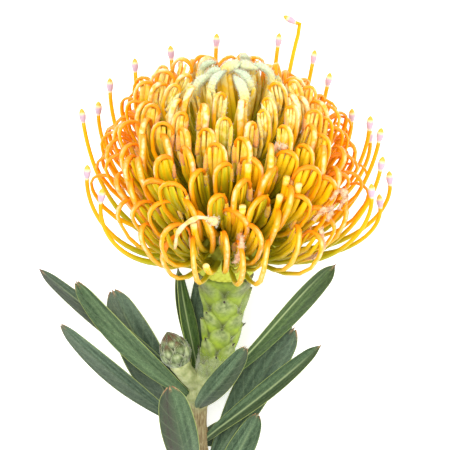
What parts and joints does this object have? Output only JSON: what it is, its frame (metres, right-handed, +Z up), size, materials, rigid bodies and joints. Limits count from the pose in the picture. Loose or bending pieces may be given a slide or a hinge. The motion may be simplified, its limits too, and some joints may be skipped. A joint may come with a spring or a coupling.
{
  "type": "pincushion_protea_flower",
  "caption": "Cut pincushion protea lying on its side: an orange head of looped styles on a scaly green neck, with a leafy stem and a side bud",
  "frame": {"origin": "centre of the bounding box, on the surface that the flower lies on", "axes": "+Z up from the surface, +Y from the cut end of the stem to the top of the flower head, +X to the right"},
  "size_m": [0.1188, 0.1705, 0.0841],
  "materials": {
    "style": "waxy orange styles",
    "stem": "green bark and scales, slightly woolly",
    "bud": "downy green scales",
    "leaf": "leathery green, half matt"
  },
  "bodies": {
    "root": {"flower_head": "style", "stem": "stem", "side_bud": "bud", "leaf_a": "leaf", "leaf_b": "leaf", "leaf_c": "leaf", "leaf_d": "leaf", "leaf_e": "leaf", "leaf_f": "leaf", "leaf_g": "leaf", "leaf_h": "leaf", "leaf_i": "leaf", "leaf_j": "leaf", "leaf_k": "leaf", "leaf_l": "leaf", "leaf_m": "leaf"}
  },
  "joints": []
}
